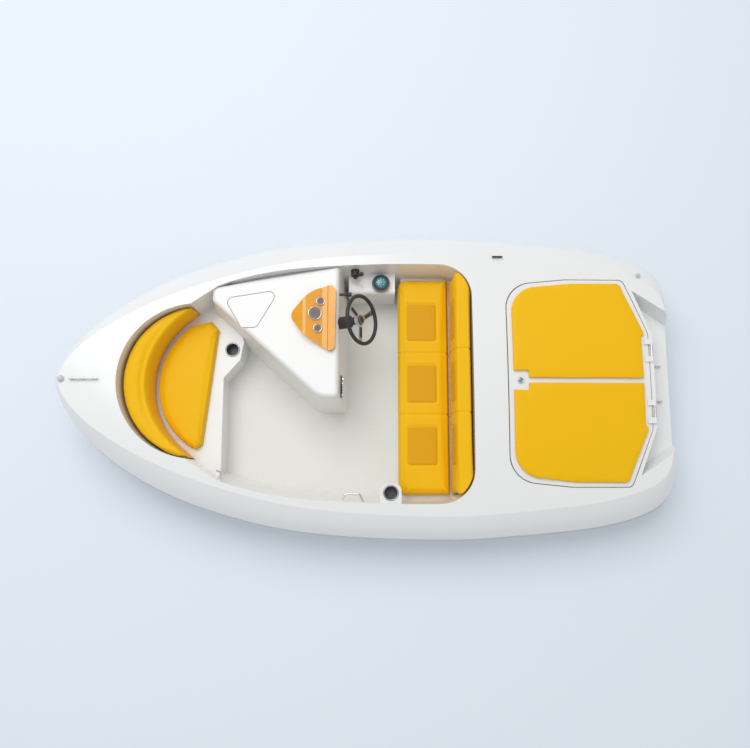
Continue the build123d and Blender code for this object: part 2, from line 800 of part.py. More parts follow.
def make_seal():
    plane = level(CROWN_Z - HATCH_DEPTH)
    ring = hatch_outline(-14) - hatch_outline(-14 - SEAL_WIDTH)
    return extrude(plane * ring, SEAL_HEIGHT - 0.3)


def make_latch(lid):
    z = deck_top(LATCH_X, 0)
    return Pos(LATCH_X, 0, z + 2) * Cylinder(22, 16) - lid


def make_sunpad(side):
    """One half of the sun pad, on the lid's cambered top."""
    half = extrude(hatch_outline(-PAD_MARGIN), FAR)
    half &= block((-FAR, FAR), (PAD_SPLIT / 2, FAR), (0, FAR))
    half -= block((HATCH_FRONT_X - 130, FAR), (-FAR, LATCH_BAY), (0, FAR))
    half -= block((-FAR, HATCH_AFT_X + 44), (0, 310), (0, FAR))
    pad = (half & camber(PAD_THICK)) - camber(0.3)
    return pad if side > 0 else mirror(pad, Plane.XZ)


def make_engine():
    length, wide, high = ENGINE
    x = BAY_FRONT_X - 30
    return block((x - length, x), (-wide / 2, wide / 2), (WELL_Z, WELL_Z + high))


# ---------------------------------------------------------------- water jet
def turned(points):
    """A solid of revolution about the drive line, from (x, radius) points."""
    face = Plane.XZ * make_face(Polyline(*points, close=True))
    return Pos(0, 0, JET_Z) * revolve(face, Axis.X)


def make_pump():
    """Pump housing in the hull, its flange, the fixed nozzle and the steering lugs."""
    outer, bore = BORE_R + PUMP_WALL, BORE_R
    tip = FIXED_NOZZLE_R
    body = turned(
        [
            (PUMP_FRONT_X, bore),
            (PUMP_FRONT_X, outer),
            (NOTCH_X, outer),
            (NOTCH_X, outer + 16),
            (NOTCH_X - 12, outer + 16),
            (NOTCH_X - 12, bore + 8),
            (NOZZLE_PIVOT_X + THROAT, tip + 6 + NOZZLE_WALL),
            (NOZZLE_PIVOT_X, tip + NOZZLE_WALL),
            (NOZZLE_PIVOT_X, tip),
            (NOZZLE_PIVOT_X + THROAT, tip + 6),
            (NOTCH_X - 12, bore),
        ]
    )
    vane_length = 70
    core = turned(
        [
            (IMPELLER_X - 46, 0),
            (IMPELLER_X - 46, HUB_R),
            (NOTCH_X - 20, HUB_R),
            (NOTCH_X - 90, 0),
        ]
    )
    middle = IMPELLER_X - 46 - vane_length / 2
    for turn in range(0, 360, 60):
        vane = Pos(middle, 0, 55) * Box(vane_length, 5, bore + 2 - HUB_R + 20)
        core += Pos(0, 0, JET_Z) * Rot(turn, 0, 0) * vane
    body += core & turned([(-FAR, 0), (-FAR, bore + 5), (0, bore + 5), (0, 0)])
    for side in (-1, 1):
        z = JET_Z + side * 94
        lug = block((NOZZLE_PIVOT_X - 16, NOTCH_X - 6), (-18, 18), (z - 4, z + 4))
        pin = rod((NOZZLE_PIVOT_X, 0, z - 6), (NOZZLE_PIVOT_X, 0, z + 6), STEER_PIN_R + SHAFT_FIT)
        body += lug - pin
    return body


def make_impeller():
    """Hub with four swept blades."""
    hub = rod((IMPELLER_X - 40, 0, JET_Z), (IMPELLER_X + 40, 0, JET_Z), HUB_R - 2)
    tip = BORE_R - BLADE_TIP_GAP
    for turn in range(0, 360, 90):
        blade = Pos(0, 0, tip / 2) * Rot(0, 0, 35) * Box(72, 5, tip)
        hub += Pos(IMPELLER_X, 0, JET_Z) * Rot(turn, 0, 0) * blade
    rim = turned(
        [(IMPELLER_X - 40, 0), (IMPELLER_X - 40, tip), (IMPELLER_X + 40, tip), (IMPELLER_X + 40, 0)]
    )
    return hub & rim


def make_shaft():
    start = BAY_FRONT_X - 30 - ENGINE[0] - 4
    return rod((IMPELLER_X + 40, 0, JET_Z), (start, 0, JET_Z), SHAFT_R)


def make_grate(hull):
    bars = block((INTAKE_FRONT_X - 14, INTAKE_FRONT_X), (-INTAKE_HALF, INTAKE_HALF), (-275, -245))
    bars += block((-1545, -1531), (-INTAKE_HALF, INTAKE_HALF), (-262, -245))
    for y in (-52, -26, 0, 26, 52):
        bars += block((-1545, INTAKE_FRONT_X), (y - 3, y + 3), (-262, -248))
    return bars - hull


def make_ride_plate():
    plate = block((-1900, NOTCH_X), (-100, 100), (-262, -254))
    return plate + block((NOTCH_X - 8, NOTCH_X), (-100, 100), (-262, -240))


def make_nozzle():
    """Steering nozzle with its upright pins and the bucket's side pins."""
    body = turned(
        [
            (NOZZLE_PIVOT_X + MOUTH_LAP, MOUTH_R),
            (NOZZLE_PIVOT_X + MOUTH_LAP, MOUTH_R + NOZZLE_WALL),
            (NOZZLE_EXIT_X, 46 + NOZZLE_WALL),
            (NOZZLE_EXIT_X, 46),
        ]
    )
    for side in (-1, 1):
        low, high = JET_Z + side * 70, JET_Z + side * 98
        body += rod((NOZZLE_PIVOT_X, 0, low), (NOZZLE_PIVOT_X, 0, high), STEER_PIN_R)
        boss = JET_Z + side * 85
        body += rod((NOZZLE_PIVOT_X, 0, low), (NOZZLE_PIVOT_X, 0, boss), 16)
        body += rod((BUCKET_X, side * 58, JET_Z), (BUCKET_X, side * 99, JET_Z), BUCKET_PIN_R)
    hollow = turned(
        [
            (NOZZLE_PIVOT_X + 21, 0),
            (NOZZLE_PIVOT_X + 21, MOUTH_R),
            (NOZZLE_PIVOT_X + MOUTH_LAP, MOUTH_R),
            (NOZZLE_EXIT_X - 1, 46),
            (NOZZLE_EXIT_X - 1, 0),
        ]
    )
    return body - hollow


def make_bucket():
    """Reverse bucket: a curved shell on two side arms, parked above the outlet."""
    shell = Cylinder(BUCKET_R + BUCKET_WALL, 2 * BUCKET_HALF) - Cylinder(BUCKET_R, 2 * BUCKET_HALF)
    disc = Cylinder(BUCKET_R + BUCKET_WALL, BUCKET_WALL)
    arms = Pos(0, 0, BUCKET_HALF - BUCKET_WALL / 2) * disc
    arms += Pos(0, 0, BUCKET_WALL / 2 - BUCKET_HALF) * disc
    reach = 2 * BUCKET_R
    first, last = math.radians(22), math.radians(97)
    wedge = make_face(
        Polyline(
            (0, 0),
            (reach * math.cos(first), reach * math.sin(first)),
            (reach, reach * 1.2),
            (reach * math.cos(last), reach * math.sin(last)),
            close=True,
        )
    )
    wedge = extrude(wedge, BUCKET_HALF + 1, both=True)
    body = (shell + arms) & wedge
    for side in (-1, 1):
        body += Pos(0, 0, side * (BUCKET_HALF - BUCKET_WALL / 2)) * Cylinder(18, BUCKET_WALL)
    body -= Cylinder(BUCKET_PIN_R + SHAFT_FIT, 3 * BUCKET_HALF)
    frame = Plane(origin=(BUCKET_X, 0, JET_Z), x_dir=(-1, 0, 0), z_dir=(0, 1, 0))
    return frame * body


def build_all():
    space = cockpit_space()
    hull = make_hull()
    deck = make_deck(deck_blank())
    console = make_console()
    pod = make_pod() - console
    rim = make_wheel_rim()
    lid = make_hatch()
    parts = {
        "hull": hull,
        "deck": deck,
        "rub_rail": make_rub_rail(),
        "cockpit_sole": make_sole(),
        "console": console,
        "locker_lid": make_locker_lid(),
        "locker_latch": make_locker_latch(),
        "dash_pod": pod,
        "gauges": make_gauges(pod),
        "audio_panel": make_audio_panel(console),
        "steering_column": make_column(console, pod),
        "kill_switch": make_kill_switch(),
        "wheel_rim": rim,
        "wheel_spokes": make_wheel_spokes(rim),
        "side_box": make_side_box(space),
        "throttle_lever": make_throttle(space),
        "compass": make_compass(),
        "grab_handle": make_grab_handle(space),
        "rope_hook": make_rope_hook(deck),
        "bow_seat_panel": make_bow_seat_panel(space, console),
        "bow_cushion": make_bow_cushion(),
        "bow_backrest": make_bow_backrest(),
        "bench_base": make_bench_base(space),
        "bench_cushion": make_bench_cushion(),
        "bench_backrest": make_bench_back(),
        "cup_shelf": make_cup_shelf(space),
        "cup_holders": make_cup_holders(),
        "bow_cleat": make_bow_cleat(deck),
        "bow_light": make_bow_light(deck),
        "bow_eye": make_bow_eye(hull),
        "side_cleat": make_side_cleat(deck),
        "stern_light": make_stern_light(deck),
        "transom_eyes": make_transom_eyes(deck),
        "engine_hatch": lid,
        "hatch_hinges": make_hinges(deck),
        "hatch_seal": make_seal(),
        "hatch_latch": make_latch(lid),
        "sunpad_port": make_sunpad(1),
        "sunpad_starboard": make_sunpad(-1),
        "engine": make_engine(),
        "jet_pump": make_pump(),
        "impeller": make_impeller(),
        "drive_shaft": make_shaft(),
        "intake_grate": make_grate(hull),
        "ride_plate": make_ride_plate(),
        "steering_nozzle": make_nozzle(),
        "reverse_bucket": make_bucket(),
    }
    os.makedirs("parts", exist_ok=True)
    for name, shape in parts.items():
        export_step(shape, f"parts/{name}.step")


build_all()
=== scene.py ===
import json
import math

import bpy
from mathutils import Matrix, Vector


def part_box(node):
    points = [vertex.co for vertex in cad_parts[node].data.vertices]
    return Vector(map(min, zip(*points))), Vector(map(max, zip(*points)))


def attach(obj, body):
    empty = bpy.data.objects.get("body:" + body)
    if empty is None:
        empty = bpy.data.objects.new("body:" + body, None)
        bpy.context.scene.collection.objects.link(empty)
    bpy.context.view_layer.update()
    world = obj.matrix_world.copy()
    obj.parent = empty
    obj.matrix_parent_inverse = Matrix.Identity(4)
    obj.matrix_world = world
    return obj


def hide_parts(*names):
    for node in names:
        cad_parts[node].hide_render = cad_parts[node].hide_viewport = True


# The looks of an open jet sport boat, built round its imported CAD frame.
# Everything is in metres: X to the bow, Y to port, Z up, and the waterline at Z = 0.

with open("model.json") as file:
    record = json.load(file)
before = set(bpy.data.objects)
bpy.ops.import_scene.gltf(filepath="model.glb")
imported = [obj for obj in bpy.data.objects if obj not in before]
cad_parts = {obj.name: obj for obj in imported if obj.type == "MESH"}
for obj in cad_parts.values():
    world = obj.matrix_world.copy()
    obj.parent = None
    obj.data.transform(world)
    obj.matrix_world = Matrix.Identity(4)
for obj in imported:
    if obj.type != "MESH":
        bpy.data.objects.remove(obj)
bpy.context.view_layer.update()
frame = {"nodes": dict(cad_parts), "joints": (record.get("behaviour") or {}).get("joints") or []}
nodes = frame["nodes"]
joints = {joint["name"]: joint for joint in frame["joints"]}
scene = bpy.context.scene

# ---------------------------------------------------------------- camera, floor and light
EYE = Vector((-0.06, 0.747, 5.56))
EYE_TILT = math.radians(9)  # how far the view leans towards starboard
LENS = 35.8
SENSOR_WIDTH = 36

KEY_PLACE = Vector((2.6, -4.6, 10.5))
KEY_SIZE = 8.0
KEY_POWER = 640
SKY = (0.97, 0.985, 1.0)
SKY_STRENGTH = 0.62
FLOOR_COLOUR = (0.80, 0.86, 0.925)
FLOOR_SIZE = 60


def make_camera():
    """A camera above the boat, with the bow to the left and starboard at the top."""
    lean, rise = math.sin(EYE_TILT), math.cos(EYE_TILT)
    right, up, back = Vector((-1, 0, 0)), Vector((0, -rise, lean)), Vector((0, lean, rise))
    bpy.ops.object.camera_add()
    camera = bpy.context.object
    camera.name = "camera"
    camera.matrix_world = Matrix.Translation(EYE) @ Matrix((right, up, back)).transposed().to_4x4()
    camera.data.lens = LENS
    camera.data.sensor_width = SENSOR_WIDTH
    camera.data.clip_end = 100
    scene.camera = camera


def make_light():
    """One large soft light from the starboard bow, and a pale sky all round."""
    bpy.ops.object.light_add(type="AREA", location=KEY_PLACE)
    key = bpy.context.object
    key.name = "key_light"
    key.data.size = KEY_SIZE
    key.data.energy = KEY_POWER
    key.rotation_euler = (-KEY_PLACE).to_track_quat("-Z", "Y").to_euler()
    world = bpy.data.worlds.new("studio")
    world.use_nodes = True
    sky = world.node_tree.nodes["Background"]
    sky.inputs["Color"].default_value = (*SKY, 1)
    sky.inputs["Strength"].default_value = SKY_STRENGTH
    scene.world = world
    scene.view_settings.view_transform = "Standard"


# ---------------------------------------------------------------- shared node groups
def start_group(name, inputs, outputs):
    """A shader node group with these sockets; returns its tree, its input and its output node."""
    tree = bpy.data.node_groups.new(name, "ShaderNodeTree")
    for label, kind, value in inputs:
        socket = tree.interface.new_socket(label, in_out="INPUT", socket_type=kind)
        if value is not None:
            socket.default_value = value
    for label, kind in outputs:
        tree.interface.new_socket(label, in_out="OUTPUT", socket_type=kind)
    return tree, tree.nodes.new("NodeGroupInput"), tree.nodes.new("NodeGroupOutput")


def add_node(tree, kind, **values):
    """A node of this kind, with named sockets or properties set."""
    node = tree.nodes.new(kind)
    for label, value in values.items():
        if hasattr(node, label):
            setattr(node, label, value)
        else:
            node.inputs[label].default_value = value
    return node


def noise(tree, place, scale, detail=3.0):
    node = add_node(tree, "ShaderNodeTexNoise", Detail=detail)
    tree.links.new(place, node.inputs["Vector"])
    if isinstance(scale, (int, float)):
        node.inputs["Scale"].default_value = scale
    else:
        tree.links.new(scale, node.inputs["Scale"])
    return node.outputs["Fac"]


def spread(tree, value, low, high):
    """Maps a 0 to 1 value to this range."""
    node = add_node(tree, "ShaderNodeMapRange")
    tree.links.new(value, node.inputs["Value"])
    for label, end in (("To Min", low), ("To Max", high)):
        if isinstance(end, (int, float)):
            node.inputs[label].default_value = end
        else:
            tree.links.new(end, node.inputs[label])
    return node.outputs["Result"]


def maths(tree, operation, *values, clamp=False):
    node = add_node(tree, "ShaderNodeMath", operation=operation, use_clamp=clamp)
    for place, value in enumerate(values):
        if isinstance(value, (int, float)):
            node.inputs[place].default_value = value
        else:
            tree.links.new(value, node.inputs[place])
    return node.outputs["Value"]


def blend_colour(tree, amount, first, second, mode="MIX"):
    node = add_node(tree, "ShaderNodeMix", data_type="RGBA", blend_type=mode)
    for place, value in ((0, amount), (6, first), (7, second)):
        if isinstance(value, (int, float, tuple)):
            node.inputs[place].default_value = value
        else:
            tree.links.new(value, node.inputs[place])
    return node.outputs[2]


def make_wear_group():
    """Slight unevenness of colour and gloss, with faint grime in the low gloss patches."""
    tree, start, end = start_group(
        "surface_wear",
        [
            ("Colour", "NodeSocketColor", (0.8, 0.8, 0.8, 1)),
            ("Tint", "NodeSocketColor", (0.6, 0.6, 0.58, 1)),
            ("Patch Size", "NodeSocketFloat", 4.0),
            ("Amount", "NodeSocketFloat", 0.1),
            ("Gloss Low", "NodeSocketFloat", 0.2),
            ("Gloss High", "NodeSocketFloat", 0.35),
        ],
        [("Colour", "NodeSocketColor"), ("Roughness", "NodeSocketFloat")],
    )
    place = add_node(tree, "ShaderNodeTexCoord").outputs["Object"]
    patches = noise(tree, place, start.outputs["Patch Size"], 5.0)
    specks = noise(tree, place, 190.0, 2.0)
    mask = maths(tree, "MULTIPLY", patches, start.outputs["Amount"], clamp=True)
    colour = blend_colour(tree, mask, start.outputs["Colour"], start.outputs["Tint"])
    mixed = maths(tree, "MULTIPLY_ADD", specks, 0.4, maths(tree, "MULTIPLY", patches, 0.6))
    gloss = spread(tree, mixed, start.outputs["Gloss Low"], start.outputs["Gloss High"])
    tree.links.new(colour, end.inputs["Colour"])
    tree.links.new(gloss, end.inputs["Roughness"])
    return tree


def make_grain_group():
    """Fine pebbled grain, as a height, and a mask of its creases that the vinyl darkens as painted
    shade.
    """
    tree, start, end = start_group(
        "pebble_grain",
        [("Scale", "NodeSocketFloat", 300.0), ("Crease", "NodeSocketFloat", 0.5)],
        [("Height", "NodeSocketFloat"), ("Crease", "NodeSocketFloat")],
    )
    place = add_node(tree, "ShaderNodeTexCoord").outputs["Object"]
    cells = add_node(tree, "ShaderNodeTexVoronoi", feature="DISTANCE_TO_EDGE")
    tree.links.new(place, cells.inputs["Vector"])
    tree.links.new(start.outputs["Scale"], cells.inputs["Scale"])
    pebble = maths(tree, "MULTIPLY", cells.outputs["Distance"], 3.0, clamp=True)
    soft = noise(tree, place, 45.0, 3.0)
    height = maths(tree, "MULTIPLY_ADD", pebble, start.outputs["Crease"], soft)
    # Crease mask, full in the grain's creases; the vinyl darkens its colour there as painted shade.
    crease_shade_mask = maths(tree, "SUBTRACT", 1.0, pebble, clamp=True)
    tree.links.new(height, end.inputs["Height"])
    tree.links.new(crease_shade_mask, end.inputs["Crease"])
    return tree


def make_tread_group():
    """Moulded non-slip dots in rows, as a height."""
    tree, start, end = start_group(
        "non_slip",
        [("Pitch", "NodeSocketFloat", 0.008)],
        [("Height", "NodeSocketFloat")],
    )
    place = add_node(tree, "ShaderNodeTexCoord").outputs["Object"]
    split = add_node(tree, "ShaderNodeSeparateXYZ")
    tree.links.new(place, split.inputs["Vector"])
    waves = []
    for axis in ("X", "Y"):
        turn = maths(tree, "DIVIDE", split.outputs[axis], start.outputs["Pitch"])
        wave = maths(tree, "SINE", maths(tree, "MULTIPLY", turn, 2 * math.pi))
        waves.append(maths(tree, "MULTIPLY_ADD", wave, 0.5, 0.5))
    height = maths(tree, "POWER", maths(tree, "MULTIPLY", *waves), 0.6)
    tree.links.new(height, end.inputs["Height"])
    return tree


def make_brush_group():
    """Long fine scratches along X, as a height."""
    tree, start, end = start_group(
        "brushed",
        [("Scale", "NodeSocketFloat", 220.0), ("Stretch", "NodeSocketFloat", 0.06)],
        [("Height", "NodeSocketFloat")],
    )
    place = add_node(tree, "ShaderNodeTexCoord").outputs["Object"]
    joined = add_node(tree, "ShaderNodeCombineXYZ")
    split = add_node(tree, "ShaderNodeSeparateXYZ")
    tree.links.new(place, split.inputs["Vector"])
    along = maths(tree, "MULTIPLY", split.outputs["X"], start.outputs["Stretch"])
    tree.links.new(along, joined.inputs["X"])
    tree.links.new(split.outputs["Y"], joined.inputs["Y"])
    tree.links.new(split.outputs["Z"], joined.inputs["Z"])
    lines = noise(tree, joined.outputs["Vector"], start.outputs["Scale"], 4.0)
    tree.links.new(lines, end.inputs["Height"])
    return tree


GROUPS = {
    "wear": make_wear_group(),
    "grain": make_grain_group(),
    "tread": make_tread_group(),
    "brush": make_brush_group(),
}


# ---------------------------------------------------------------- materials
def place_group(tree, name, **values):
    node = tree.nodes.new("ShaderNodeGroup")
    node.node_tree = GROUPS[name]
    for label, value in values.items():
        node.inputs[label.replace("_", " ")].default_value = value
    return node


def add_bump(tree, surface, height, depth, strength=1.0):
    bump = add_node(tree, "ShaderNodeBump", Strength=strength, Distance=depth)
    tree.links.new(height, bump.inputs["Height"])
    tree.links.new(bump.outputs["Normal"], surface.inputs["Normal"])


def start_material(name, colour, tint, amount, gloss, patch_size=4.0, **sockets):
    """A Principled material with surface wear on its colour and gloss."""
    material = bpy.data.materials.new(name)
    material.use_nodes = True
    tree = material.node_tree
    surface = tree.nodes["Principled BSDF"]
    for label, value in sockets.items():
        surface.inputs[label.replace("_", " ")].default_value = value
    wear = place_group(
        tree,
        "wear",
        Colour=(*colour, 1),
        Tint=(*tint, 1),
        Amount=amount,
        Patch_Size=patch_size,
        Gloss_Low=gloss[0],
        Gloss_High=gloss[1],
    )
    tree.links.new(wear.outputs["Colour"], surface.inputs["Base Color"])
    tree.links.new(wear.outputs["Roughness"], surface.inputs["Roughness"])
    return material, tree, surface, wear


def gelcoat(name, colour, gloss=(0.16, 0.3)):
    """Polished gelcoat with a faint orange peel."""
    tint = tuple(part * 0.93 for part in colour)
    material, tree, surface, _ = start_material(
        name, colour, tint, 0.35, gloss, Coat_Weight=0.35, Coat_Roughness=0.08
    )
    place = add_node(tree, "ShaderNodeTexCoord").outputs["Object"]
    add_bump(tree, surface, noise(tree, place, 60.0, 2.0), 0.0006, 0.25)
    return material


def non_slip(name, colour):
    """Moulded non-slip gelcoat."""
    tint = (colour[0] * 0.86, colour[1] * 0.86, colour[2] * 0.80)
    material, tree, surface, _ = start_material(name, colour, tint, 0.5, (0.4, 0.6), 3.0)
    tread = place_group(tree, "tread", Pitch=0.009)
    add_bump(tree, surface, tread.outputs["Height"], 0.0009, 0.7)
    return material


def vinyl(name, colour, panel_colour):
    """Marine vinyl with pebbled grain, its creases painted darker as painted shade; the attribute
    "panel" marks darker inset panels.
    """
    tint = tuple(part * 0.88 for part in colour)
    material, tree, surface, wear = start_material(
        name, colour, tint, 0.25, (0.42, 0.56), 6.0, Sheen_Weight=0.05, Specular_IOR_Level=0.2
    )
    grain = place_group(tree, "grain", Scale=420.0, Crease=0.45)
    panel = add_node(tree, "ShaderNodeAttribute", attribute_name="panel").outputs["Fac"]
    # Painted shade: the colour is darkened in the grain's creases, towards the panel colour.
    crease_shade_amount = maths(tree, "MULTIPLY", grain.outputs["Crease"], 0.12)
    crease_shaded_colour = blend_colour(tree, crease_shade_amount, wear.outputs["Colour"], (*panel_colour, 1))
    colour_out = blend_colour(
        tree, maths(tree, "MULTIPLY", panel, 0.85, clamp=True), crease_shaded_colour, (*panel_colour, 1)
    )
    tree.links.new(colour_out, surface.inputs["Base Color"])
    add_bump(tree, surface, grain.outputs["Height"], 0.0006, 0.45)
    return material


def metal(name, colour, tint, gloss, scale=220.0):
    """Bright metal with fine brushed lines."""
    material, tree, surface, _ = start_material(name, colour, tint, 0.3, gloss, 30.0, Metallic=1.0)
    brush = place_group(tree, "brush", Scale=scale)
    add_bump(tree, surface, brush.outputs["Height"], 0.0002, 0.35)
    return material


def moulded(name, colour, tint, gloss, grain_scale=600.0, **sockets):
    """Moulded plastic or rubber with a fine grain."""
    material, tree, surface, _ = start_material(name, colour, tint, 0.5, gloss, 14.0, **sockets)
    grain = place_group(tree, "grain", Scale=grain_scale, Crease=0.4)
    add_bump(tree, surface, grain.outputs["Height"], 0.0004, 0.35)
    return material


WHITE = gelcoat("white_gelcoat", (0.86, 0.865, 0.86))
LINER_WHITE = gelcoat("liner_gelcoat", (0.85, 0.85, 0.835), (0.24, 0.4))
SOLE = non_slip("floor_non_slip", (0.84, 0.84, 0.80))
YELLOW_VINYL = vinyl("yellow_vinyl", (0.94, 0.53, 0.0), (0.72, 0.35, 0.0))
POD_YELLOW = moulded("pod_yellow", (0.93, 0.40, 0.004), (0.6, 0.22, 0.0), (0.16, 0.3), Coat_Weight=0.5)
CHROME = metal("chrome_trim", (0.82, 0.83, 0.85), (0.6, 0.6, 0.62), (0.05, 0.14))
PAPER_WHITE = moulded("marking_white", (0.8, 0.8, 0.78), (0.6, 0.6, 0.58), (0.3, 0.5))
NEEDLE_RED = moulded("needle_red", (0.55, 0.02, 0.015), (0.3, 0.02, 0.01), (0.3, 0.5))
CARD_TEAL = moulded("compass_teal", (0.01, 0.17, 0.22), (0.02, 0.3, 0.32), (0.08, 0.2), Coat_Weight=1.0)
MAROON = moulded("maroon_moulding", (0.09, 0.012, 0.014), (0.15, 0.03, 0.03), (0.3, 0.5))
NAVY = moulded("navy_moulding", (0.012, 0.02, 0.05), (0.03, 0.04, 0.08), (0.25, 0.45))
STEEL = metal("polished_steel", (0.72, 0.73, 0.75), (0.5, 0.5, 0.52), (0.1, 0.24))
ALLOY = metal("satin_alloy", (0.60, 0.62, 0.64), (0.42, 0.43, 0.45), (0.3, 0.46), 120.0)
GRIP = moulded("black_grip", (0.018, 0.018, 0.02), (0.06, 0.06, 0.065), (0.4, 0.6))
BLACK = moulded("black_moulding", (0.022, 0.022, 0.026), (0.06, 0.06, 0.07), (0.3, 0.5))
RAIL = moulded("rail_rubber", (0.74, 0.755, 0.76), (0.6, 0.6, 0.6), (0.4, 0.55))
GREY = moulded("grey_moulding", (0.10, 0.115, 0.115), (0.2, 0.21, 0.2), (0.35, 0.5))
DIAL = moulded("dial_face", (0.20, 0.16, 0.14), (0.08, 0.07, 0.06), (0.2, 0.3), Coat_Weight=1.0)
LENS_CLEAR = moulded("lamp_lens", (0.62, 0.64, 0.66), (0.5, 0.5, 0.5), (0.08, 0.16), Coat_Weight=1.0)
ENGINE_PAINT = moulded("engine_paint", (0.05, 0.055, 0.06), (0.12, 0.12, 0.12), (0.4, 0.6))
SEAL = moulded("seal_rubber", (0.05, 0.055, 0.05), (0.1, 0.1, 0.1), (0.5, 0.7))

FINISHES = {
    WHITE: ("hull", "deck", "engine_hatch"),
    LINER_WHITE: (
        "console",
        "locker_lid",
        "side_box",
        "bow_seat_panel",
        "bench_base",
        "cup_shelf",
    ),
    SOLE: ("cockpit_sole",),
    RAIL: ("rub_rail",),
    YELLOW_VINYL: (
        "bow_cushion",
        "bow_backrest",
        "bench_cushion",
        "bench_backrest",
        "sunpad_port",
        "sunpad_starboard",
    ),
    POD_YELLOW: ("dash_pod",),
    STEEL: (
        "locker_latch",
        "grab_handle",
        "rope_hook",
        "bow_cleat",
        "bow_eye",
        "transom_eyes",
        "hatch_hinges",
        "hatch_latch",
        "impeller",
        "drive_shaft",
    ),
    ALLOY: (
        "wheel_spokes",
        "jet_pump",
        "intake_grate",
        "ride_plate",
        "steering_nozzle",
        "reverse_bucket",
    ),
    GRIP: ("wheel_rim", "throttle_lever"),
    BLACK: ("steering_column", "kill_switch", "side_cleat"),
    GREY: ("audio_panel", "cup_holders"),
    DIAL: ("gauges", "compass"),
    LENS_CLEAR: ("bow_light", "stern_light"),
    ENGINE_PAINT: ("engine",),
    SEAL: ("hatch_seal",),
}


def finish_nodes():
    for material, names in FINISHES.items():
        for name in names:
            mesh = nodes[name].data
            mesh.materials.clear()
            mesh.materials.append(material)


# ---------------------------------------------------------------- padded pieces
PAD_VOXEL = 0.010
WELD_GAP = 0.0002
FOOT_HEIGHT = 0.012  # the part of a pad that its base holds still
SWELL_FRAMES = 16
CLOTH_QUALITY = 2
PRESSURE = 4.0
STRETCH_STIFFNESS = 8
BEND_STIFFNESS = 1.5
RELAX_PASSES = 2
SEAM_WIDTH = 0.007
SEAM_DEPTH = 0.006
PANEL_EDGE = 0.004  # the inset panels' colour fades over this width


def select_only(piece):
    bpy.ops.object.select_all(action="DESELECT")
    piece.select_set(True)
    bpy.context.view_layer.objects.active = piece


def pad_blank(name, node):
    """A welded copy of a CAD pad, remeshed evenly."""
    pad = bpy.data.objects.new(name, nodes[node].data.copy())
    scene.collection.objects.link(pad)
    select_only(pad)
    weld = pad.modifiers.new("weld", "WELD")
    weld.merge_threshold = WELD_GAP
    bpy.ops.object.modifier_apply(modifier="weld")
    pad.data.remesh_voxel_size = PAD_VOXEL
    bpy.ops.object.voxel_remesh()
    return pad


def push_in(pad, depths):
    """Moves each point in along its normal by its own depth."""
    normals = [vertex.normal.copy() for vertex in pad.data.vertices]
    for vertex, normal, depth in zip(pad.data.vertices, normals, depths):
        vertex.co -= normal * depth


def swell(pad, cap, slim):
    """Draws the pad in by slim, then fills it out by cloth pressure, its foot held.

    No point ends up further than cap from its slimmed place.
    """
    low = min(vertex.co.z for vertex in pad.data.vertices)
    push_in(pad, [slim] * len(pad.data.vertices))
    rest = [vertex.co.copy() for vertex in pad.data.vertices]
    foot = pad.vertex_groups.new(name="foot")
    held = [v.index for v in pad.data.vertices if v.co.z < low + FOOT_HEIGHT + slim]
    foot.add(held, 1.0, "REPLACE")
    cloth = pad.modifiers.new("swell", "CLOTH")
    cloth.settings.quality = CLOTH_QUALITY
    cloth.settings.vertex_group_mass = "foot"
    cloth.settings.use_pressure = True
    cloth.settings.uniform_pressure_force = PRESSURE
    cloth.settings.effector_weights.gravity = 0
    cloth.settings.tension_stiffness = STRETCH_STIFFNESS
    cloth.settings.bending_stiffness = BEND_STIFFNESS
    cloth.collision_settings.use_collision = False
    cloth.point_cache.frame_start = 1
    cloth.point_cache.frame_end = SWELL_FRAMES
    for step in range(1, SWELL_FRAMES + 1):
        scene.frame_set(step)
    select_only(pad)
    bpy.ops.object.modifier_apply(modifier="swell")
    pad.vertex_groups.clear()
    scene.frame_set(1)
    for vertex, start in zip(pad.data.vertices, rest):
        move = vertex.co - start
        if move.length > cap:
            vertex.co = start + move * (cap / move.length)


def rounded_box_distance(x, y, centre, half, corner):
    """Distance outside a rounded rectangle in plan; negative inside."""
    dx, dy = abs(x - centre[0]) - half[0] + corner, abs(y - centre[1]) - half[1] + corner
    return math.hypot(max(dx, 0), max(dy, 0)) + min(max(dx, dy), 0) - corner


def sew(pad, seams):
    """Presses sewn channels into the pad; each seam gives a point's distance from its line."""
    nearest = [min(abs(seam(vertex.co)) for seam in seams) for vertex in pad.data.vertices]
    push_in(pad, [SEAM_DEPTH * math.exp(-((near / SEAM_WIDTH) ** 2)) for near in nearest])


def mark_panels(pad, panels):
    """Writes the attribute that tells the vinyl where its darker inset panels are."""
    marks = pad.data.attributes.new("panel", "FLOAT", "POINT")
    values = []
    for vertex in pad.data.vertices:
        inside = max(-panel(vertex.co) for panel in panels) if panels else -1
        values.append(min(max(inside / PANEL_EDGE, 0), 1))
    marks.data.foreach_set("value", values)


def finish_pad(pad, node, body):
    """Gives the pad its vinyl and puts it on its body in place of the CAD pad."""
    select_only(pad)
    bpy.ops.object.shade_smooth()
    pad.data.materials.clear()
    pad.data.materials.append(YELLOW_VINYL)
    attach(pad, body)
    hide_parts(node)


def make_cushion(node, body, cap, slim, fill, seams=(), panels=()):
    """One filled vinyl pad in the place of a CAD pad, with its seams and panels."""
    pad = pad_blank(node + "_vinyl", node)
    swell(pad, cap, slim)
    select_only(pad)
    relax = pad.modifiers.new("relax", "SMOOTH")
    relax.factor, relax.iterations = 0.5, RELAX_PASSES
    bpy.ops.object.modifier_apply(modifier="relax")
    smooth = pad.modifiers.new("smooth", "SUBSURF")
    smooth.levels = smooth.render_levels = 1
    bpy.ops.object.modifier_apply(modifier="smooth")
    if seams:
        sew(pad, seams)
    mark_panels(pad, panels)
    finish_pad(pad, node, body)


